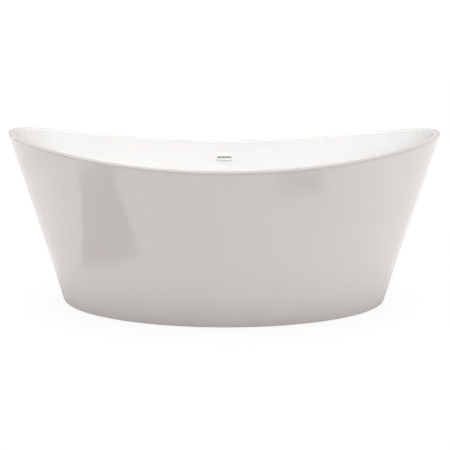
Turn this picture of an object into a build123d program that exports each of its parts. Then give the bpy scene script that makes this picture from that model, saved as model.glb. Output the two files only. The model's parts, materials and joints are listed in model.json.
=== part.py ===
from build123d import *
import os
from math import atan, cos, sin, sqrt

# Freestanding double-ended bathtub. X runs along the tub, Y across it (the overflow is on the
# +Y side), Z is up. The origin is on the floor, below the middle of the drain. Millimetres.

# Outer form, taken to the sharp edges before they are rounded
rim_length = 1700
rim_width = 800
end_height = 720
middle_height = 620
base_length = 1370
base_width = 620
base_gap = 3
base_radius = 8
skirt_wall = 6
skirt_return = 46

# Rim and basin
rim_band = 26
rim_lip = 12
rim_round = 7
basin_wall = 6
floor_height = 150
floor_thickness = 10
floor_length = 1040
floor_width = 440
floor_radius = 90
floor_dish = 6

# Support frame below the basin
board_thickness = 15
board_length = 920
board_width = 340
board_corner = 60
board_drain_hole = 104
tube_size = 25
tube_wall = 1.5
tube_corner = 3
rail_length = 900
rail_spacing = 300
crossbar_spacing = 520
cap_thickness = 2
cap_depth = 12
board_screw_places = (-340, -110, 110, 340)
board_screw_diameter = 4.5
board_screw_bite = 12

# Levelling feet
foot_spacing = 800
foot_thread = 12
foot_pad_diameter = 50
foot_pad_edge = 6
foot_pad_height = 16
foot_pad_hub = 24
foot_pad_floor = 4
foot_hex_size = 19
foot_hex_height = 8
foot_hex_gap = 4
foot_top_gap = 3
weld_nut_height = 10
lock_nut_height = 7

# Brackets that tie the skirt to the frame
bracket_spacing = 400
bracket_width = 40
bracket_thickness = 3
bracket_web_gap = 4
bracket_foot = 27
bolt_diameter = 6
bolt_head = 10
bolt_head_height = 4
bolt_reach = 12
rivet_diameter = 4.8
rivet_head = 9
rivet_head_height = 1.5
rivet_inset = 12

# Drain
drain_hole = 52
drain_flange_diameter = 70
drain_flange_height = 3
drain_tube_diameter = 48
drain_tube_wall = 4
drain_tube_length = 68
drain_hub_diameter = 18
drain_hub_height = 6
drain_hub_rise = 22
drain_arm_width = 4
gasket_thickness = 1.5
washer_thickness = 4
washer_diameter = 74
locknut_size = 66
locknut_height = 9
cartridge_diameter = 18
cartridge_height = 28
plug_diameter = 64
plug_edge = 4
plug_crown = 3
plug_seal_diameter = 58
plug_seal_thickness = 2.5
plug_stem_diameter = 8
plug_stem_tail = 4

# Drain tee, tailpiece and their slip joint
tee_diameter = 60
tee_length = 80
tee_socket = 34
tee_bore = 36
tee_neck_diameter = 48
tee_neck_length = 20
branch_height = 75
branch_diameter = 24
branch_length = 55
outlet_diameter = 38
outlet_length = 17
outlet_gap = 0.5
tailpiece_diameter = 37
tailpiece_wall = 2
tailpiece_insert = 20
slip_nut_diameter = 60
slip_nut_height = 20
slip_nut_lip = 4
slip_washer_thickness = 2

# Overflow
overflow_drop = 68
cover_width = 78
cover_height = 38
cover_depth = 7
cover_wall = 2
cover_corner = 5
slot_width = 65
slot_height = 9
slot_drop = 6
cover_stand = 0.9
overflow_opening_width = 50
overflow_opening_height = 16
overflow_opening_rise = 6
overflow_base_gap = 0.3
overflow_base_thickness = 2.5
overflow_base_corner = 3
overflow_screw_spacing = 62
overflow_screw_diameter = 4
overflow_screw_head = 7
overflow_screw_head_height = 1.6
overflow_screw_length = 20
housing_width = 84
housing_height = 44
housing_depth = 13
housing_wall = 2
housing_corner = 5
housing_chamber_width = 50
housing_gasket_thickness = 3
housing_gasket_height = 38

# Overflow hose, its spigots and clamps
hose_diameter = 22
hose_bore = 15.2
hose_clearance = 0.1
spigot_bore = 11
spigot_length = 30
spigot_shift = -0.5
hose_grip = 18
hose_top_radius = 300
hose_bottom_radius = 110
hose_lean_drop = 43
hose_turn_gap = 35
clamp_width = 9
clamp_thickness = 1.2
clamp_block = 8

# Clearances
running = 0.1
loose = 0.3
press = 0.05

form_top = end_height + 60
form_low = floor_height - floor_thickness


def outer_half(z, inset=0.0):
    """Half length and half width of the outer wall at height z, moved in square to the wall."""
    lean_x = (rim_length - base_length) / 2 / end_height
    lean_y = (rim_width - base_width) / 2 / middle_height
    half_x = base_length / 2 + lean_x * z - inset * sqrt(1 + lean_x**2)
    half_y = base_width / 2 + lean_y * z - inset * sqrt(1 + lean_y**2)
    return half_x, half_y


side_lean = (rim_width / 2 - rim_band - floor_width / 2) / (middle_height - floor_height)
end_lean = (rim_length / 2 - rim_band - floor_length / 2) / (end_height - floor_height)


def inner_half(z, grow=0.0):
    """Half length and half width of the basin wall at height z, moved out square to the wall."""
    half_x = floor_length / 2 + end_lean * (z - floor_height) + grow * sqrt(1 + end_lean**2)
    half_y = floor_width / 2 + side_lean * (z - floor_height) + grow * sqrt(1 + side_lean**2)
    return half_x, half_y


rim_rise = end_height - middle_height
rim_radius = ((rim_length / 2) ** 2 + rim_rise**2) / (2 * rim_rise)


def rim_height(x):
    return middle_height + rim_radius - sqrt(rim_radius**2 - x**2)


def below_rim(drop):
    """Everything below the swept rim line, lowered by drop."""
    reach = rim_length / 2 + 50
    with BuildPart() as block:
        with BuildSketch(Plane.XZ):
            with BuildLine():
                line = ThreePointArc(
                    (-reach, rim_height(reach) - drop),
                    (0, middle_height - drop),
                    (reach, rim_height(reach) - drop),
                )
                Polyline(line @ 1, (reach, -50), (-reach, -50), line @ 0)
            make_face()
        extrude(amount=rim_width, both=True)
    return block.part


def save(piece, name):
    piece.part.label = name
    export_step(piece.part, f"parts/{name}.step")


os.makedirs("parts", exist_ok=True)
corners = {
    "front_left": (-1, -1),
    "front_right": (1, -1),
    "back_left": (-1, 1),
    "back_right": (1, 1),
}

# Heights that the pieces below the basin share
board_bottom = form_low - board_thickness
rail_bottom = board_bottom - tube_size
rail_centre = rail_bottom + tube_size / 2
rail_y = rail_spacing / 2
crossbar_x = crossbar_spacing / 2
foot_x = foot_spacing / 2
bracket_x = bracket_spacing / 2

# Overflow datum: on the basin's inner wall, local Z into the tub, local Y up the wall
overflow_height = middle_height - overflow_drop
overflow_lean = atan(side_lean)
overflow_plane = Plane(
    origin=(0, inner_half(overflow_height)[1], overflow_height),
    x_dir=(1, 0, 0),
    z_dir=(0, -cos(overflow_lean), sin(overflow_lean)),
)
housing_front = -basin_wall - housing_gasket_thickness
housing_back = housing_front - housing_depth
housing_foot = overflow_plane.from_local_coords(
    Vector(0, -housing_height / 2, (housing_front + housing_back) / 2)
)
spigot_y = housing_foot.Y + spigot_shift
spigot_top = housing_foot.Z + housing_wall
spigot_end = spigot_top - spigot_length
spigot_diameter = hose_bore - 2 * hose_clearance

# ---------------------------------------------------------------- outer skirt and basin

below_lip = below_rim(rim_lip)
below_top = below_rim(0)
below_middle = below_rim(rim_lip / 2)

with BuildPart() as outer_form:
    with BuildSketch(Plane.XY.offset(base_gap)):
        Ellipse(*outer_half(base_gap))
    with BuildSketch(Plane.XY.offset(form_top)):
        Ellipse(*outer_half(form_top))
    loft(ruled=True)
    fillet(outer_form.faces().sort_by(Axis.Z)[0].edges(), base_radius)

with BuildPart() as skirt_inside:
    with BuildSketch(Plane.XY.offset(base_gap + skirt_wall)):
        Ellipse(*outer_half(base_gap + skirt_wall, skirt_wall))
    with BuildSketch(Plane.XY.offset(form_top)):
        Ellipse(*outer_half(form_top, skirt_wall))
    loft(ruled=True)
    fillet(skirt_inside.faces().sort_by(Axis.Z)[0].edges(), base_radius - skirt_wall)


def flange_edge(x):
    """How far out in Y the opening in the skirt's bottom reaches, at this X."""
    half_x, half_y = outer_half(0, skirt_return)
    return half_y * sqrt(1 - (x / half_x) ** 2)


bracket_web_y = flange_edge(bracket_x) - bracket_thickness - bracket_web_gap
rivet_y = flange_edge(bracket_x) + rivet_inset

with BuildPart() as skirt:
    add(outer_form.part)
    add(skirt_inside.part, mode=Mode.SUBTRACT)
    add(below_lip, mode=Mode.INTERSECT)
    with BuildSketch(Plane.XY):
        Ellipse(*outer_half(0, skirt_return))
    extrude(amount=base_gap + skirt_wall + 1, mode=Mode.SUBTRACT)
    with Locations(*[(sx * bracket_x, sy * rivet_y, base_gap) for sx, sy in corners.values()]):
        Cylinder(rivet_diameter / 2 + running, 4 * skirt_wall, mode=Mode.SUBTRACT)
save(skirt, "skirt")

dish_radius = ((floor_length / 2) ** 2 + floor_dish**2) / (2 * floor_dish)


def dish_height(x):
    return floor_height + dish_radius - sqrt(dish_radius**2 - x**2)


with BuildPart() as cavity:
    with BuildSketch(Plane.XY.offset(floor_height - 30)):
        Ellipse(*inner_half(floor_height - 30))
    with BuildSketch(Plane.XY.offset(form_top)):
        Ellipse(*inner_half(form_top))
    loft(ruled=True)
    with BuildSketch(Plane.XZ):
        with BuildLine():
            fall = ThreePointArc(
                (0, floor_height),
                (rim_length / 2, dish_height(rim_length / 2)),
                (rim_length, dish_height(rim_length)),
            )
            Polyline(fall @ 1, (rim_length, form_top + 50), (0, form_top + 50), fall @ 0)
        make_face()
    revolve(axis=Axis.Z, mode=Mode.INTERSECT)
    fillet(cavity.faces().sort_by(Axis.Z)[0].edges(), floor_radius)

with BuildPart() as basin_outside:
    with BuildSketch(Plane.XY.offset(form_low)):
        Ellipse(*inner_half(form_low, basin_wall))
    with BuildSketch(Plane.XY.offset(form_top)):
        Ellipse(*inner_half(form_top, basin_wall))
    loft(ruled=True)
    fillet(basin_outside.faces().sort_by(Axis.Z)[0].edges(), floor_radius)

with BuildPart() as rim_ring:
    add(outer_form.part)
    add(below_top, mode=Mode.INTERSECT)
    add(below_lip, mode=Mode.SUBTRACT)

screw_spots = [(sx * overflow_screw_spacing / 2, 0) for sx in (-1, 1)]
opening_spot = (0, overflow_opening_rise)

with BuildPart() as basin:
    add(basin_outside.part)
    add(below_middle, mode=Mode.INTERSECT)
    add(rim_ring.part)
    add(cavity.part, mode=Mode.SUBTRACT)
    rim_face = basin.faces().filter_by(GeomType.CYLINDER).sort_by(Axis.Z)[-1]
    fillet(rim_face.edges(), rim_round)
    with Locations((0, 0, floor_height)):
        Cylinder(drain_hole / 2, 4 * floor_thickness, mode=Mode.SUBTRACT)
    with BuildSketch(overflow_plane.offset(cover_stand)):
        with Locations(opening_spot):
            SlotOverall(overflow_opening_width, overflow_opening_height)
        with Locations(*screw_spots):
            Circle(overflow_screw_diameter / 2 + running)
    extrude(amount=-2 * basin_wall - cover_stand, mode=Mode.SUBTRACT)
save(basin, "basin")

# ---------------------------------------------------------------- support frame

screw_spots_xy = [(x, sy * rail_y) for x in board_screw_places for sy in (-1, 1)]

with BuildPart() as floor_board:
    with BuildSketch(Plane.XY.offset(board_bottom)):
        RectangleRounded(board_length, board_width, board_corner)
        Circle(board_drain_hole / 2, mode=Mode.SUBTRACT)
    extrude(amount=board_thickness)
    with BuildSketch(Plane.XY.offset(board_bottom)):
        with Locations(*screw_spots_xy):
            Circle(board_screw_diameter / 2 + press)
    extrude(amount=board_screw_bite, mode=Mode.SUBTRACT)
    chamfer(floor_board.faces().sort_by(Axis.Z)[0].outer_wire().edges(), 1.5)
save(floor_board, "floor_board")

for side, sy in (("front", -1), ("back", 1)):
    with BuildPart() as frame_rail:
        with BuildSketch(Plane.YZ.offset(-rail_length / 2)):
            with Locations((sy * rail_y, rail_centre)):
                RectangleRounded(tube_size, tube_size, tube_corner)
                inner = tube_size - 2 * tube_wall
                RectangleRounded(inner, inner, tube_corner - tube_wall, mode=Mode.SUBTRACT)
        extrude(amount=rail_length)
        with BuildSketch(Plane.XY.offset(rail_bottom - 1)):
            with Locations(*[(x, sy * rail_y) for x in board_screw_places]):
                Circle(board_screw_diameter / 2 + running)
        extrude(amount=tube_size + 2, mode=Mode.SUBTRACT)
        with BuildSketch(Plane.XY.offset(rail_bottom - 1)):
            with Locations((-foot_x, sy * rail_y), (foot_x, sy * rail_y)):
                Circle(foot_thread / 2 + 1)
            with Locations((-bracket_x, sy * rail_y), (bracket_x, sy * rail_y)):
                Circle(bolt_diameter / 2 + running)
        extrude(amount=tube_wall + 2, mode=Mode.SUBTRACT)
    save(frame_rail, f"frame_rail_{side}")

for side, sx in (("left", -1), ("right", 1)):
    with BuildPart() as frame_crossbar:
        with BuildSketch(Plane.XZ):
            with Locations((sx * crossbar_x, rail_centre)):
                RectangleRounded(tube_size, tube_size, tube_corner)
                inner = tube_size - 2 * tube_wall
                RectangleRounded(inner, inner, tube_corner - tube_wall, mode=Mode.SUBTRACT)
        extrude(amount=rail_y - tube_size / 2, both=True)
    save(frame_crossbar, f"frame_crossbar_{side}")

with BuildPart() as rail_end_caps:
    for sx, sy in corners.values():
        with BuildSketch(Plane.YZ.offset(sx * rail_length / 2)):
            with Locations((sy * rail_y, rail_centre)):
                RectangleRounded(tube_size, tube_size, tube_corner)
        extrude(amount=sx * cap_thickness)
        with BuildSketch(Plane.YZ.offset(sx * rail_length / 2)):
            with Locations((sy * rail_y, rail_centre)):
                plug = tube_size - 2 * tube_wall - 2 * running
                RectangleRounded(plug, plug, tube_corner - tube_wall)
        extrude(amount=-sx * cap_depth)
save(rail_end_caps, "rail_end_caps")

with BuildPart() as board_screws:
    with BuildSketch(Plane.XY.offset(rail_bottom)):
        with Locations(*screw_spots_xy):
            Circle(board_screw_diameter / 2)
    extrude(amount=tube_size + board_screw_bite)
    with BuildSketch(Plane.XY.offset(rail_bottom)):
        with Locations(*screw_spots_xy):
            Circle(board_screw_diameter)
    extrude(amount=-board_screw_diameter / 2)
    heads = board_screws.faces().sort_by(Axis.Z).group_by(Axis.Z)[0]
    fillet(heads.edges(), board_screw_diameter / 4)
save(board_screws, "board_screws")

# ---------------------------------------------------------------- levelling feet

weld_nut_bottom = rail_bottom - weld_nut_height
stem_top = rail_bottom + tube_size - tube_wall - foot_top_gap
hex_bottom = foot_pad_height + foot_hex_gap

with BuildPart() as foot_weld_nuts:
    with BuildSketch(Plane.XY.offset(weld_nut_bottom)):
        with Locations(*[(sx * foot_x, sy * rail_y) for sx, sy in corners.values()]):
            RegularPolygon(foot_hex_size / 2, 6, major_radius=False)
            Circle(foot_thread / 2 + running, mode=Mode.SUBTRACT)
    extrude(amount=weld_nut_height)
save(foot_weld_nuts, "foot_weld_nuts")

for corner, (sx, sy) in corners.items():
    here = Plane(origin=(sx * foot_x, sy * rail_y, 0))

    with BuildPart() as foot_pad:
        with BuildSketch(here):
            Circle(foot_pad_diameter / 2)
        extrude(amount=foot_pad_edge)
        with BuildSketch(here.offset(foot_pad_edge)):
            Circle(foot_pad_diameter / 2 - 3)
        with BuildSketch(here.offset(foot_pad_height)):
            Circle(foot_pad_hub / 2)
        loft(ruled=True)
        with BuildSketch(here.offset(foot_pad_floor)):
            Circle(foot_thread / 2 + running)
        extrude(amount=foot_pad_height, mode=Mode.SUBTRACT)
        sole = foot_pad.faces().filter_by(Plane.XY).sort_by(Axis.Z)[0]
        chamfer(sole.outer_wire().edges(), 1)
    save(foot_pad, f"foot_pad_{corner}")

    with BuildPart() as foot_stem:
        with BuildSketch(here.offset(foot_pad_floor)):
            Circle(foot_thread / 2)
        extrude(amount=stem_top - foot_pad_floor)
        chamfer(foot_stem.faces().sort_by(Axis.Z)[-1].edges(), 1)
        with BuildSketch(here.offset(hex_bottom)):
            RegularPolygon(foot_hex_size / 2, 6, major_radius=False)
        extrude(amount=foot_hex_height)
    save(foot_stem, f"foot_stem_{corner}")

    with BuildPart() as foot_locknut:
        with BuildSketch(here.offset(weld_nut_bottom)):
            RegularPolygon(foot_hex_size / 2, 6, major_radius=False)
            Circle(foot_thread / 2 + running, mode=Mode.SUBTRACT)
        extrude(amount=-lock_nut_height)
    save(foot_locknut, f"foot_locknut_{corner}")

# ---------------------------------------------------------------- skirt brackets

flange_top = base_gap + skirt_wall
bracket_inner_y = rail_y - tube_size / 2

for corner, (sx, sy) in corners.items():
    with BuildPart() as skirt_bracket:
        with BuildSketch(Plane.YZ.offset(sx * bracket_x)):
            Polygon(
                (sy * bracket_inner_y, rail_bottom),
                (sy * (bracket_web_y + bracket_thickness), rail_bottom),
                (sy * (bracket_web_y + bracket_thickness), flange_top + bracket_thickness),
                (sy * (bracket_web_y + bracket_foot), flange_top + bracket_thickness),
                (sy * (bracket_web_y + bracket_foot), flange_top),
                (sy * bracket_web_y, flange_top),
                (sy * bracket_web_y, rail_bottom - bracket_thickness),
                (sy * bracket_inner_y, rail_bottom - bracket_thickness),
                align=None,
            )
        extrude(amount=bracket_width / 2, both=True)
        with Locations((sx * bracket_x, sy * rail_y, rail_bottom)):
            Cylinder(bolt_diameter / 2 + running, 4 * bracket_thickness, mode=Mode.SUBTRACT)
        with Locations((sx * bracket_x, sy * rivet_y, flange_top)):
            Cylinder(rivet_diameter / 2 + running, 4 * bracket_thickness, mode=Mode.SUBTRACT)
    save(skirt_bracket, f"skirt_bracket_{corner}")

with BuildPart() as bracket_bolts:
    for sx, sy in corners.values():
        below = Plane(origin=(sx * bracket_x, sy * rail_y, rail_bottom - bracket_thickness))
        with BuildSketch(below):
            RegularPolygon(bolt_head / 2, 6, major_radius=False)
        extrude(amount=-bolt_head_height)
        with BuildSketch(below):
            Circle(bolt_diameter / 2)
        extrude(amount=bracket_thickness + bolt_reach)
save(bracket_bolts, "bracket_bolts")

with BuildPart() as skirt_rivets:
    for sx, sy in corners.values():
        above = Plane(origin=(sx * bracket_x, sy * rivet_y, flange_top + bracket_thickness))
        with BuildSketch(above):
            Circle(rivet_head / 2)
        extrude(amount=rivet_head_height)
        with BuildSketch(above):
            Circle(rivet_diameter / 2)
        extrude(amount=-bracket_thickness - skirt_wall)
        with BuildSketch(above.offset(-bracket_thickness - skirt_wall)):
            Circle(rivet_diameter * 0.8)
        extrude(amount=-rivet_head_height)
save(skirt_rivets, "skirt_rivets")

# ---------------------------------------------------------------- drain

flange_bottom = floor_height + gasket_thickness
flange_level = flange_bottom + drain_flange_height
tube_bottom = flange_bottom - drain_tube_length
tube_bore = drain_tube_diameter / 2 - drain_tube_wall
hub_bottom = tube_bottom + drain_hub_rise
hub_top = hub_bottom + drain_hub_height

with BuildPart() as drain_flange_gasket:
    with BuildSketch(Plane.XY.offset(flange_bottom)):
        Circle(drain_flange_diameter / 2 - 1)
        Circle(drain_hole / 2, mode=Mode.SUBTRACT)
    extrude(amount=-3 * gasket_thickness)
    add(basin.part, mode=Mode.SUBTRACT)
save(drain_flange_gasket, "drain_flange_gasket")

with BuildPart() as drain_body:
    with BuildSketch(Plane.XZ):
        Polygon(
            (tube_bore, tube_bottom),
            (drain_tube_diameter / 2, tube_bottom),
            (drain_tube_diameter / 2, flange_bottom),
            (drain_flange_diameter / 2, flange_bottom),
            (drain_flange_diameter / 2, flange_bottom + 1),
            (drain_flange_diameter / 2 - 4, flange_level),
            (tube_bore + 6, flange_level),
            (tube_bore, flange_bottom - 6),
            align=None,
        )
    revolve(axis=Axis.Z)
    with BuildSketch(Plane.XY.offset(hub_bottom)):
        Circle(drain_hub_diameter / 2)
        with PolarLocations(0, 3):
            Rectangle(tube_bore + 1, drain_arm_width, align=(Align.MIN, Align.CENTER))
        Circle(plug_stem_diameter / 2 + running, mode=Mode.SUBTRACT)
    extrude(amount=drain_hub_height)
save(drain_body, "drain_body")

with BuildPart() as drain_lower_washer:
    with BuildSketch(Plane.XY.offset(form_low)):
        Circle(washer_diameter / 2)
        Circle(drain_tube_diameter / 2 + running, mode=Mode.SUBTRACT)
    extrude(amount=-washer_thickness)
save(drain_lower_washer, "drain_lower_washer")

with BuildPart() as drain_locknut:
    with BuildSketch(Plane.XY.offset(form_low - washer_thickness)):
        RegularPolygon(locknut_size / 2, 6, major_radius=False)
        Circle(drain_tube_diameter / 2 + running, mode=Mode.SUBTRACT)
    extrude(amount=-locknut_height)
save(drain_locknut, "drain_locknut")

with BuildPart() as plug_cartridge:
    with BuildSketch(Plane.XY.offset(hub_top)):
        Circle(cartridge_diameter / 2)
        Circle(plug_stem_diameter / 2 + running, mode=Mode.SUBTRACT)
    extrude(amount=cartridge_height)
    chamfer(plug_cartridge.faces().sort_by(Axis.Z)[-1].outer_wire().edges(), 1.5)
save(plug_cartridge, "plug_cartridge")

plug_level = flange_level + plug_seal_thickness

with BuildPart() as plug_seal:
    with BuildSketch(Plane.XY.offset(flange_level)):
        Circle(plug_seal_diameter / 2)
        Circle(plug_seal_diameter / 2 - 5, mode=Mode.SUBTRACT)
    extrude(amount=plug_seal_thickness)
save(plug_seal, "plug_seal")

plug_crown_radius = ((plug_diameter / 2) ** 2 + plug_crown**2) / (2 * plug_crown)

with BuildPart() as plug_cap:
    with BuildSketch(Plane.XZ):
        with BuildLine():
            crown = ThreePointArc(
                (0, plug_level + plug_edge + plug_crown),
                (
                    plug_diameter / 4,
                    plug_level + plug_edge + plug_crown - plug_crown_radius
                    + sqrt(plug_crown_radius**2 - (plug_diameter / 4) ** 2),
                ),
                (plug_diameter / 2, plug_level + plug_edge),
            )
            Polyline(crown @ 1, (plug_diameter / 2, plug_level), (0, plug_level), crown @ 0)
        make_face()
    revolve(axis=Axis.Z)
    rim_edge = plug_cap.edges().filter_by(lambda edge: edge.is_closed).sort_by(Axis.Z)[-1]
    fillet(rim_edge, 1.5)
save(plug_cap, "plug_cap")

with BuildPart() as plug_stem:
    with BuildSketch(Plane.XY.offset(plug_level)):
        Circle(plug_stem_diameter / 2)
    extrude(amount=-(plug_level - hub_bottom + plug_stem_tail))
    chamfer(plug_stem.faces().sort_by(Axis.Z)[0].edges(), 1)
save(plug_stem, "plug_stem")

# ---------------------------------------------------------------- tee and tailpiece

tee_top = tube_bottom + tee_socket
tee_bottom = tee_top - tee_length
socket_top = tee_bottom + tailpiece_insert
nut_bottom = tee_bottom - slip_washer_thickness - slip_nut_lip
tailpiece_end = nut_bottom - outlet_gap - outlet_length

with BuildPart() as drain_tee:
    with BuildSketch(Plane.XZ):
        Polygon(
            (drain_tube_diameter / 2 + running, tee_top),
            (tee_diameter / 2, tee_top),
            (tee_diameter / 2, tee_bottom + tee_neck_length),
            (tee_neck_diameter / 2, tee_bottom + tee_neck_length),
            (tee_neck_diameter / 2, tee_bottom),
            (tailpiece_diameter / 2 + running, tee_bottom),
            (tailpiece_diameter / 2 + running, socket_top),
            (tee_bore / 2, socket_top),
            (tee_bore / 2, tube_bottom),
            (drain_tube_diameter / 2 + running, tube_bottom),
            align=None,
        )
    revolve(axis=Axis.Z)
    with BuildSketch(Plane.XZ.offset(3 - tee_diameter / 2)):
        with Locations((0, branch_height)):
            Circle(branch_diameter / 2)
    extrude(amount=-(branch_length - tee_diameter / 2 + 3))
    with BuildSketch(Plane.XZ.offset(-branch_length)):
        with Locations((0, branch_height)):
            Circle(spigot_diameter / 2)
    extrude(amount=-spigot_length)
    with BuildSketch(Plane.XZ):
        with Locations((0, branch_height)):
            Circle(spigot_bore / 2)
    extrude(amount=-(branch_length + spigot_length + 1), mode=Mode.SUBTRACT)
save(drain_tee, "drain_tee")

with BuildPart() as tailpiece:
    with BuildSketch(Plane.XY.offset(tailpiece_end)):
        Circle(outlet_diameter / 2)
    extrude(amount=outlet_length)
    with BuildSketch(Plane.XY.offset(tailpiece_end)):
        Circle(tailpiece_diameter / 2)
    extrude(amount=socket_top - 1 - tailpiece_end)
    with BuildSketch(Plane.XY.offset(tailpiece_end)):
        Circle(tailpiece_diameter / 2 - tailpiece_wall)
    extrude(amount=socket_top - tailpiece_end, mode=Mode.SUBTRACT)
save(tailpiece, "tailpiece")

with BuildPart() as tailpiece_washer:
    with BuildSketch(Plane.XY.offset(tee_bottom)):
        Circle(tee_neck_diameter / 2)
        Circle(tailpiece_diameter / 2 + running, mode=Mode.SUBTRACT)
    extrude(amount=-slip_washer_thickness)
save(tailpiece_washer, "tailpiece_washer")

with BuildPart() as tailpiece_nut:
    with BuildSketch(Plane.XY.offset(nut_bottom)):
        Circle(slip_nut_diameter / 2)
        with PolarLocations(slip_nut_diameter / 2 + 1, 12):
            Circle(2.5, mode=Mode.SUBTRACT)
        Circle(tailpiece_diameter / 2 + running, mode=Mode.SUBTRACT)
    extrude(amount=slip_nut_height)
    with BuildSketch(Plane.XY.offset(nut_bottom + slip_nut_lip)):
        Circle(tee_neck_diameter / 2 + running)
    extrude(amount=slip_nut_height, mode=Mode.SUBTRACT)
save(tailpiece_nut, "tailpiece_nut")

# ---------------------------------------------------------------- overflow

cover_inner_width = cover_width - 2 * cover_wall
cover_inner_height = cover_height - 2 * cover_wall
base_width_over = cover_inner_width - 2 * overflow_base_gap
base_height_over = cover_inner_height - 2 * overflow_base_gap

with BuildPart() as overflow_base_gasket:
    with BuildSketch(overflow_plane.offset(cover_stand)):
        RectangleRounded(base_width_over, base_height_over, overflow_base_corner)
        with Locations(opening_spot):
            SlotOverall(overflow_opening_width + 2, overflow_opening_height + 2, mode=Mode.SUBTRACT)
        with Locations(*screw_spots):
            Circle(overflow_screw_diameter / 2 + loose, mode=Mode.SUBTRACT)
    extrude(amount=-basin_wall / 2 - cover_stand)
    add(basin.part, mode=Mode.SUBTRACT)
save(overflow_base_gasket, "overflow_base_gasket")

with BuildPart() as overflow_base:
    with BuildSketch(overflow_plane.offset(cover_stand)):
        RectangleRounded(base_width_over, base_height_over, overflow_base_corner)
        with Locations(opening_spot):
            SlotOverall(overflow_opening_width, overflow_opening_height, mode=Mode.SUBTRACT)
        with Locations(*screw_spots):
            Circle(overflow_screw_diameter / 2 + running, mode=Mode.SUBTRACT)
    extrude(amount=overflow_base_thickness)
save(overflow_base, "overflow_base")

with BuildPart() as overflow_cover:
    with BuildSketch(overflow_plane.offset(cover_stand)):
        RectangleRounded(cover_width, cover_height, cover_corner)
    extrude(amount=cover_depth)
    front_edges = overflow_cover.faces().filter_by(overflow_plane).sort_by(Axis.Y)[0].edges()
    fillet(front_edges, 1.4)
    with BuildSketch(overflow_plane.offset(cover_stand)):
        RectangleRounded(cover_inner_width, cover_inner_height, cover_corner - cover_wall)
    extrude(amount=cover_depth - cover_wall, mode=Mode.SUBTRACT)
    with BuildSketch(overflow_plane.offset(cover_stand)):
        with Locations((0, -slot_drop)):
            RectangleRounded(slot_width, slot_height, 1.5)
    extrude(amount=cover_depth + 1, mode=Mode.SUBTRACT)
save(overflow_cover, "overflow_cover")

screw_seat = cover_stand + overflow_base_thickness

with BuildPart() as overflow_screws:
    with BuildSketch(overflow_plane.offset(screw_seat)):
        with Locations(*screw_spots):
            Circle(overflow_screw_head / 2)
    extrude(amount=overflow_screw_head_height)
    with BuildSketch(overflow_plane.offset(screw_seat)):
        with Locations(*screw_spots):
            Circle(overflow_screw_diameter / 2)
    extrude(amount=-overflow_screw_length)
save(overflow_screws, "overflow_screws")

with BuildPart() as overflow_gasket:
    with BuildSketch(overflow_plane.offset(housing_front)):
        RectangleRounded(housing_width, housing_gasket_height, housing_corner)
        with Locations(opening_spot):
            SlotOverall(overflow_opening_width + 2, overflow_opening_height + 2, mode=Mode.SUBTRACT)
        with Locations(*screw_spots):
            Circle(overflow_screw_diameter / 2 + loose, mode=Mode.SUBTRACT)
    extrude(amount=housing_gasket_thickness + basin_wall / 2)
    add(basin.part, mode=Mode.SUBTRACT)
save(overflow_gasket, "overflow_gasket")

with BuildPart() as overflow_housing:
    with BuildSketch(overflow_plane.offset(housing_front)):
        RectangleRounded(housing_width, housing_height, housing_corner)
    extrude(amount=-housing_depth)
    with Locations((0, spigot_y, spigot_top - spigot_length / 2)):
        Cylinder(spigot_diameter / 2, spigot_length)
    with BuildSketch(overflow_plane.offset(housing_front)):
        chamber_height = housing_height - 4 * housing_wall
        RectangleRounded(housing_chamber_width, chamber_height, housing_corner - housing_wall)
    extrude(amount=housing_wall - housing_depth, mode=Mode.SUBTRACT)
    with BuildSketch(Plane.XY.offset(spigot_end - 1)):
        with Locations((0, spigot_y)):
            Circle(spigot_bore / 2)
    extrude(amount=spigot_length + 6, mode=Mode.SUBTRACT)
    with BuildSketch(overflow_plane.offset(housing_front)):
        with Locations(*screw_spots):
            Circle(overflow_screw_diameter / 2 + press)
    extrude(amount=housing_wall - housing_depth, mode=Mode.SUBTRACT)
save(overflow_housing, "overflow_housing")

# ---------------------------------------------------------------- overflow hose

hose_top = spigot_end + hose_grip
hose_end = branch_length + spigot_length - hose_grip
hose_turn_reach = outer_half(branch_height, skirt_wall)[1] - hose_turn_gap
hose_route = [
    (0, spigot_y, hose_top),
    (0, spigot_y, hose_top - hose_lean_drop),
    (0, hose_turn_reach, branch_height),
    (0, hose_end, branch_height),
]

with BuildPart() as overflow_hose:
    with BuildLine() as hose_path:
        FilletPolyline(*hose_route, radius=[hose_top_radius, hose_bottom_radius])
    with BuildSketch(Plane.XY.offset(hose_top)):
        with Locations((0, spigot_y)):
            Circle(hose_diameter / 2)
    sweep()
    with BuildLine():
        FilletPolyline(*hose_route, radius=[hose_top_radius, hose_bottom_radius])
    with BuildSketch(Plane.XY.offset(hose_top)):
        with Locations((0, spigot_y)):
            Circle(hose_bore / 2)
    sweep(mode=Mode.SUBTRACT)
save(overflow_hose, "overflow_hose")

clamp_radius = hose_diameter / 2 + press

with BuildPart() as hose_clamp_top:
    with BuildSketch(Plane.XY.offset(hose_top - hose_grip / 2 - clamp_width / 2)):
        with Locations((0, spigot_y)):
            Circle(clamp_radius + clamp_thickness)
            Rectangle(clamp_radius + clamp_block, clamp_block, align=(Align.MIN, Align.CENTER))
            Circle(clamp_radius, mode=Mode.SUBTRACT)
    extrude(amount=clamp_width)
save(hose_clamp_top, "hose_clamp_top")

with BuildPart() as hose_clamp_bottom:
    with BuildSketch(Plane.XZ.offset(-(hose_end + hose_grip / 2 - clamp_width / 2))):
        with Locations((0, branch_height)):
            Circle(clamp_radius + clamp_thickness)
            Rectangle(clamp_radius + clamp_block, clamp_block, align=(Align.MIN, Align.CENTER))
            Circle(clamp_radius, mode=Mode.SUBTRACT)
    extrude(amount=-clamp_width)
save(hose_clamp_bottom, "hose_clamp_bottom")

hose_length = sum(edge.length for edge in hose_path.edges())
print("hose length", round(hose_length, 1), "radii", hose_top_radius, hose_bottom_radius)
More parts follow.
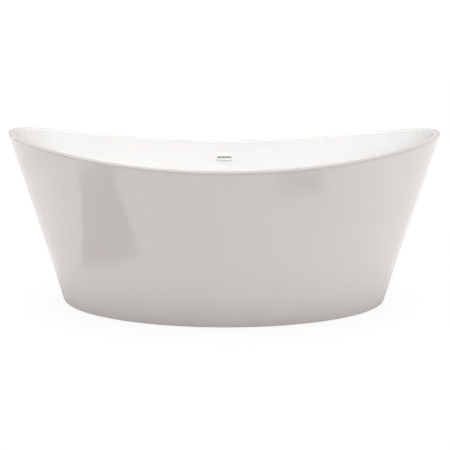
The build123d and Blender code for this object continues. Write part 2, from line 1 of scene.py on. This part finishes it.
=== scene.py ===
import bpy
import json
from math import atan2, hypot, pi, radians
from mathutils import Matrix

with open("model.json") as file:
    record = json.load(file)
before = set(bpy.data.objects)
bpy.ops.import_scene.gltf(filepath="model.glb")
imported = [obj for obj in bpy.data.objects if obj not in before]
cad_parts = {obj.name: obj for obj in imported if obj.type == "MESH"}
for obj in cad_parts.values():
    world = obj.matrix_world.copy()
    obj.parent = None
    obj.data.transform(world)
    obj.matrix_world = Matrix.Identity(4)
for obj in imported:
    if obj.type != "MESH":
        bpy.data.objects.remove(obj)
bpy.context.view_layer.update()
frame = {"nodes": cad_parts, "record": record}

# the leaning outer wall, as half sizes on the floor and how much they grow per metre of height
foot_half_length = 0.685
foot_half_width = 0.310
end_lean = 0.2292
side_lean = 0.1452

white = (1, 1, 1, 1)


class S:
    """A shader socket that takes part in plain arithmetic, each step adding a Math node."""

    def __init__(self, nodes, socket):
        self.nodes = nodes
        self.socket = socket

    def math(self, operation, *values):
        return self.nodes.node("ShaderNodeMath", {"operation": operation}, *values)[0]

    def __add__(self, other):
        return self.math("ADD", self, other)

    def __radd__(self, other):
        return self.math("ADD", other, self)

    def __sub__(self, other):
        return self.math("SUBTRACT", self, other)

    def __rsub__(self, other):
        return self.math("SUBTRACT", other, self)

    def __mul__(self, other):
        return self.math("MULTIPLY", self, other)

    def __rmul__(self, other):
        return self.math("MULTIPLY", other, self)

    def __truediv__(self, other):
        return self.math("DIVIDE", self, other)

    def __pow__(self, other):
        return self.math("POWER", self, other)


class Nodes:
    """The nodes of a material or of the world, emptied and built up by hand."""

    def __init__(self, owner, output):
        owner.use_nodes = True
        self.tree = owner.node_tree
        self.tree.nodes.clear()
        self.output = self.tree.nodes.new(output)

    def link(self, value, socket):
        if isinstance(value, S):
            self.tree.links.new(value.socket, socket)
        elif value is not None:
            socket.default_value = value

    def node(self, kind, settings, *values, **named):
        """Adds a node: its settings first, then its sockets in order or by name."""
        made = self.tree.nodes.new(kind)
        stops = settings.pop("stops", None)
        for key, value in settings.items():
            setattr(made, key, value)
        if stops:
            ramp = made.color_ramp
            while len(ramp.elements) < len(stops):
                ramp.elements.new(0.5)
            for element, (at, colour) in zip(ramp.elements, stops):
                element.position = at
                element.color = (*colour, 1) if len(colour) == 3 else colour
        for socket, value in zip(made.inputs, values):
            self.link(value, socket)
        for key, value in named.items():
            self.link(value, made.inputs[key.replace("_", " ")])
        return {**{i: S(self, o) for i, o in enumerate(made.outputs)},
                **{o.name: S(self, o) for o in made.outputs if o.enabled}}

    def surface(self, shader):
        """Makes a shader the one that shows."""
        self.tree.links.new(shader.socket, self.output.inputs["Surface"])


class Finish(Nodes):
    """A node material on one shader."""

    def __init__(self, name):
        self.material = bpy.data.materials.new(name)
        super().__init__(self.material, "ShaderNodeOutputMaterial")
        self.shader = self.tree.nodes.new("ShaderNodeBsdfPrincipled")
        self.surface(S(self, self.shader.outputs["BSDF"]))
        self.place = self.node("ShaderNodeTexCoord", {})["Object"]

    def noise(self, scale, detail=3, roughness=0.5, where=None, distortion=0.0):
        return self.node("ShaderNodeTexNoise", {}, Vector=where or self.place, Scale=scale,
                         Detail=detail, Roughness=roughness, Distortion=distortion)["Fac"]

    def stretched(self, scale):
        return self.node("ShaderNodeMapping", {}, Vector=self.place, Scale=scale)["Vector"]

    def spread(self, value, low, high, out_low=0.0, out_high=1.0):
        return self.node("ShaderNodeMapRange", {}, value, low, high, out_low, out_high)[0]

    def colours(self, fac, *stops):
        return self.node("ShaderNodeValToRGB", {"stops": stops}, fac)["Color"]

    def mix(self, fac, *pair):
        """Blends two colours. The node's number and vector sockets, 1 to 5, are passed over."""
        pair = [colour if isinstance(colour, S) else (*colour, 1) for colour in pair]
        return self.node("ShaderNodeMix", {"data_type": "RGBA"}, fac, *[None] * 5, *pair)[2]

    def bump(self, height, distance, strength=1.0):
        return self.node("ShaderNodeBump", {}, Strength=strength, Distance=distance,
                         Height=height)["Normal"]

    def set(self, **sockets):
        for key, value in sockets.items():
            self.link(value, self.shader.inputs[key.replace("_", " ")])
        return self.material


def lip_reach(m):
    """How far out a point is, as a share of the leaning outer oval at its own height."""
    spot = m.node("ShaderNodeSeparateXYZ", {}, m.place)
    along = spot[0] / (foot_half_length + end_lean * spot[2])
    across = spot[1] / (foot_half_width + side_lean * spot[2])
    return (along * along + across * across) ** 0.5


def white_acrylic(name, light, dark, coat, painted_shade_roll=None):
    """Cast acrylic: near white, wet gloss, with a barely uneven surface.

    The last argument is painted shade: a tone a shade greyer than the bowl on the lip's outer roll,
    standing in for the shade that falls there.
    """
    m = Finish(name)
    tint = m.noise(3.0, detail=2)
    slow = m.noise(9.0, detail=1)
    fine = m.noise(900.0, detail=2)
    colour = m.colours(tint, (0.3, dark), (0.7, light))
    # painted shade: the lip's outer roll is greyed towards the outer edge of the leaning oval
    if painted_shade_roll:
        colour = m.mix(m.spread(lip_reach(m), 0.966, 0.996), colour, painted_shade_roll)
    return m.set(
        Base_Color=colour,
        Roughness=m.spread(m.noise(40.0, detail=4), 0.3, 0.7, 0.10, 0.14),
        Normal=m.bump(slow + fine * 0.002, 0.0005, 0.25),
        IOR=1.49,
        Coat_Weight=coat,
        Coat_Roughness=0.06,
        Coat_IOR=1.5,
    )


def overflow_white(name="overflow_white", low=(0.85, 0.85, 0.845), high=(0.88, 0.88, 0.875)):
    m = Finish(name)
    grain = m.noise(1500.0, detail=2)
    return m.set(
        Base_Color=m.colours(m.noise(20.0), (0.3, low), (0.7, high)),
        Roughness=m.spread(m.noise(120.0), 0.3, 0.7, 0.14, 0.2),
        Normal=m.bump(grain, 0.00003),
    )


def drain_enamel():
    m = Finish("drain_white_metal")
    peel = m.noise(600.0, detail=1)
    return m.set(
        Base_Color=m.colours(m.noise(30.0), (0.3, (0.84, 0.84, 0.83)), (0.7, (0.87, 0.87, 0.86))),
        Roughness=m.spread(m.noise(150.0), 0.3, 0.7, 0.1, 0.18),
        Normal=m.bump(peel, 0.00004),
        Coat_Weight=0.5,
    )


def chipboard():
    """Pressed chips: short flakes of several browns, rough and dry."""
    m = Finish("base_board")
    flakes = m.node("ShaderNodeTexVoronoi", {"feature": "F1"},
                    Vector=m.stretched((140, 260, 260)), Scale=1.0)
    tone = m.node("ShaderNodeSeparateColor", {}, flakes["Color"])[0]
    dust = m.noise(420.0, detail=4)
    wood = m.colours(tone, (0.0, (0.36, 0.235, 0.125)), (0.5, (0.56, 0.40, 0.235)),
                     (1.0, (0.70, 0.55, 0.36)))
    return m.set(
        Base_Color=m.mix(m.spread(dust, 0.35, 0.7, 0.0, 0.45), wood, (0.42, 0.29, 0.165)),
        Roughness=m.spread(dust, 0.2, 0.8, 0.7, 0.92),
        Normal=m.bump(tone * 0.6 + dust * 0.4, 0.0004, 0.7),
    )


def galvanised():
    """Zinc-coated tube: large spangles in slightly different greys."""
    m = Finish("frame_steel")
    spangle = m.node("ShaderNodeTexVoronoi", {"feature": "F1"}, Vector=m.place, Scale=95.0)
    tone = m.node("ShaderNodeSeparateColor", {}, spangle["Color"])[0]
    scuff = m.noise(70.0, detail=5)
    return m.set(
        Base_Color=m.colours(tone, (0.0, (0.44, 0.455, 0.47)), (1.0, (0.62, 0.63, 0.645))),
        Metallic=0.9,
        Roughness=m.spread(tone * 0.6 + scuff * 0.4, 0.2, 0.8, 0.3, 0.5),
        Normal=m.bump(tone * 0.5 + scuff * 0.5, 0.0001, 0.5),
    )


def zinc_plate():
    m = Finish("zinc_steel")
    turned = m.noise(1.0, detail=2, where=m.stretched((260, 260, 2600)))
    cloud = m.noise(60.0, detail=3)
    return m.set(
        Base_Color=m.mix(m.spread(cloud, 0.35, 0.65), (0.63, 0.64, 0.665), (0.70, 0.69, 0.645)),
        Metallic=1.0,
        Roughness=m.spread(turned, 0.25, 0.75, 0.2, 0.38),
        Normal=m.bump(turned, 0.00008, 0.6),
    )


def black_plastic():
    """Moulded nylon with a fine spark-eroded grain."""
    m = Finish("black_plastic")
    grain = m.noise(1400.0, detail=2)
    scuff = m.noise(45.0, detail=5, roughness=0.7)
    return m.set(
        Base_Color=m.colours(scuff, (0.45, (0.018, 0.018, 0.02)), (0.75, (0.045, 0.045, 0.047))),
        Roughness=m.spread(grain, 0.3, 0.7, 0.42, 0.6),
        Normal=m.bump(grain, 0.00012, 0.7),
    )


def black_rubber():
    m = Finish("black_rubber")
    bloom = m.noise(90.0, detail=5, roughness=0.65)
    grain = m.noise(2200.0, detail=1)
    return m.set(
        Base_Color=m.colours(bloom, (0.4, (0.016, 0.016, 0.016)), (0.8, (0.05, 0.049, 0.047))),
        Roughness=m.spread(bloom, 0.3, 0.7, 0.7, 0.88),
        Normal=m.bump(grain, 0.00006, 0.6),
    )


def waste_plastic():
    """White polypropylene plumbing: slightly waxy, faint flow marks."""
    m = Finish("waste_plastic")
    flow = m.noise(1.0, detail=3, where=m.stretched((60, 60, 14)), distortion=0.6)
    grain = m.noise(1100.0, detail=1)
    return m.set(
        Base_Color=m.colours(flow, (0.3, (0.76, 0.76, 0.745)), (0.7, (0.82, 0.82, 0.81))),
        Roughness=m.spread(flow * 0.5 + grain * 0.5, 0.3, 0.7, 0.3, 0.42),
        Normal=m.bump(grain, 0.00005, 0.5),
    )


def hose_grey():
    m = Finish("hose_grey")
    soft = m.noise(150.0, detail=3)
    return m.set(
        Base_Color=m.colours(soft, (0.3, (0.40, 0.41, 0.42)), (0.7, (0.48, 0.49, 0.50))),
        Roughness=m.spread(soft, 0.3, 0.7, 0.38, 0.52),
        Normal=m.bump(soft, 0.0001, 0.4),
    )


def turned_brass():
    m = Finish("stem_brass")
    rings = m.noise(1.0, detail=2, where=m.stretched((200, 200, 3000)))
    tarnish = m.noise(120.0, detail=4)
    return m.set(
        Base_Color=m.mix(m.spread(tarnish, 0.4, 0.7), (0.78, 0.60, 0.28), (0.60, 0.43, 0.20)),
        Metallic=1.0,
        Roughness=m.spread(rings, 0.25, 0.75, 0.18, 0.34),
        Normal=m.bump(rings, 0.00006, 0.6),
    )


finishes = {
    # the bowl's roll tone below is painted shade, not a different acrylic
    "tub_acrylic": white_acrylic("tub_acrylic", (0.87, 0.865, 0.86), (0.855, 0.85, 0.843),
                                 coat=0.8, painted_shade_roll=(0.70, 0.665, 0.65)),
    # painted shade: the skirt is the bowl's white acrylic, given a greyer, pinker tone for the
    # dimmer warm light on the leaning outer wall
    "skirt_acrylic": white_acrylic("skirt_acrylic", (0.755, 0.716, 0.697), (0.74, 0.70, 0.68),
                                   coat=0.75),
    "overflow_white": overflow_white(),
    "drain_white_metal": drain_enamel(),
    "base_board": chipboard(),
    "frame_steel": galvanised(),
    "zinc_steel": zinc_plate(),
    "black_plastic": black_plastic(),
    "black_rubber": black_rubber(),
    "waste_plastic": waste_plastic(),
    "hose_grey": hose_grey(),
    "stem_brass": turned_brass(),
}


def dress(piece, slot):
    piece.data.materials.clear()
    piece.data.materials.append(finishes[slot])


for entry in frame["record"]["subparts"]:
    dress(frame["nodes"][entry["node"]], entry["material_slot"])
# painted shade: the plate behind the cover gets a greyer copy of its record slot's white, so the
# cover's slot reads dark as a shaded recess
finishes["overflow_painted_shade"] = overflow_white("overflow_painted_shade", (0.44, 0.41, 0.385),
                                             (0.50, 0.47, 0.44))
dress(frame["nodes"]["overflow_base"], "overflow_painted_shade")

# ---------------------------------------------------------------- studio


def pale_floor():
    """White paper, lifted by a light of its own where the camera looks at it directly."""
    m = Finish("pale_floor")
    cloud = m.noise(0.7, detail=4)
    grain = m.noise(40.0, detail=3)
    m.set(
        Base_Color=m.colours(cloud, (0.3, (0.93, 0.93, 0.93)), (0.7, (0.95, 0.95, 0.95))),
        Roughness=m.spread(grain, 0.3, 0.7, 0.75, 0.85),
        Normal=m.bump(grain, 0.0002, 0.2),
        Specular_IOR_Level=0.1,
    )
    seen = m.node("ShaderNodeLightPath", {})["Is Camera Ray"]
    glow = m.node("ShaderNodeEmission", {}, white, 1.02)["Emission"]
    lit = S(m, m.shader.outputs["BSDF"])
    m.surface(m.node("ShaderNodeMixShader", {}, seen * 0.88, lit, glow)["Shader"])
    return m.material


bpy.ops.object.select_all(action="DESELECT")
bpy.ops.mesh.primitive_plane_add(size=60, location=(0, 0, -0.0005))
floor = bpy.context.object
floor.name = "studio_floor"
floor.data.materials.append(pale_floor())

world = bpy.data.worlds.new("studio")
bpy.context.scene.world = world
w = Nodes(world, "ShaderNodeOutputWorld")
rays = w.node("ShaderNodeLightPath", {})
room = w.node("ShaderNodeBackground", {}, (1, 0.95, 0.92, 1), 0.33)["Background"]
paper = w.node("ShaderNodeBackground", {}, white, 1.05)["Background"]
seen = rays["Is Camera Ray"] + rays["Is Glossy Ray"] * 0.38
w.surface(w.node("ShaderNodeMixShader", {}, seen, room, paper)["Shader"])


def aim(thing, target):
    """Turns a lamp to look at target."""
    x, y, z = (target[i] - thing.location[i] for i in range(3))
    thing.rotation_euler = (pi / 2 + atan2(z, hypot(x, y)), 0, atan2(-x, y))


def softbox(name, place, target, width, height, power, spread=180):
    """A rectangular lamp, kept out of the reflections."""
    bpy.ops.object.light_add(type="AREA", location=place)
    lamp = bpy.context.object
    lamp.name = name
    lamp.data.shape = "RECTANGLE"
    lamp.data.size = width
    lamp.data.size_y = height
    lamp.data.energy = power
    lamp.data.spread = radians(spread)
    lamp.visible_glossy = False
    aim(lamp, target)


bpy.ops.object.light_add(type="SUN", location=(0, 0, 4))
ceiling = bpy.context.object
ceiling.name = "ceiling_light"
ceiling.data.energy = 2.2
ceiling.data.angle = radians(40)
ceiling.visible_glossy = False

softbox("high_front_softbox", (0, -1.7, 2.7), (0, 0.33, 0.50), 1.8, 0.3, 1.02, spread=12)
softbox("left_strip", (-2.0, -0.4, 0.7), (-0.6, 0, 0.4), 1.2, 1.3, 3.2)
softbox("right_strip", (2.4, -1.0, 0.9), (0.6, 0, 0.4), 1.2, 1.5, 7)
softbox("back_right_panel", (2.6, 4.5, 2.4), (0.7, 0, 0.6), 3.0, 1.4, 25)


card_lift = 0.002


def flag_dark(name, fade):
    """Dark felt that thins out to nothing towards the card's edges."""
    m = Finish(name)
    nap = m.noise(300.0, detail=2)
    m.set(
        Base_Color=m.colours(nap, (0.3, (0.05, 0.035, 0.035)), (0.7, (0.09, 0.065, 0.065))),
        Roughness=m.spread(nap, 0.3, 0.7, 0.9, 1.0),
        Specular_IOR_Level=0.0,
    )
    card = m.node("ShaderNodeTexCoord", {})["UV"]
    spot = m.node("ShaderNodeSeparateXYZ", {}, card)
    along = m.spread(spot[0] * (1 - spot[0]), 0.0, fade)
    across = m.spread(spot[1] * (1 - spot[1]), 0.0, fade)
    clear = m.node("ShaderNodeBsdfTransparent", {})["BSDF"]
    felt = S(m, m.shader.outputs["BSDF"])
    m.surface(m.node("ShaderNodeMixShader", {}, along * across, clear, felt)["Shader"])
    return m.material


def flag(name, place, length, width, turn, fade):
    """A dark card lying beside the tub, there only to be mirrored in its skirt."""
    bpy.ops.object.select_all(action="DESELECT")
    bpy.ops.mesh.primitive_plane_add(size=1, location=(*place, card_lift),
                                     rotation=(0, 0, radians(turn)))
    card = bpy.context.object
    card.name = name
    card.scale = (length, width, 1)
    bpy.ops.object.transform_apply(location=False, rotation=False, scale=True)
    card.data.materials.append(flag_dark(name, fade))
    card.visible_camera = False
    card.visible_diffuse = False
    card.visible_shadow = False


flag("flag_left", (-1.10, -0.84), 1.12, 0.54, 42, 0.08)
flag("flag_right", (0.80, -1.36), 0.7, 0.42, 18, 0.22)

camera_distance = 2.271
camera_height = 0.9805
look_down = 16.2
head_tilt = 0.142
bpy.ops.object.camera_add(location=(0, -camera_distance, camera_height),
                          rotation=(radians(90 - look_down), 0, 0))
camera = bpy.context.object
camera.rotation_euler.rotate_axis("Z", radians(head_tilt))
camera.data.sensor_width = 36
camera.data.lens = 45.33
camera.data.shift_x = 0.0018
camera.data.clip_end = 200
bpy.context.scene.camera = camera
bpy.context.scene.view_settings.view_transform = "Standard"
bpy.context.scene.view_settings.look = "None"
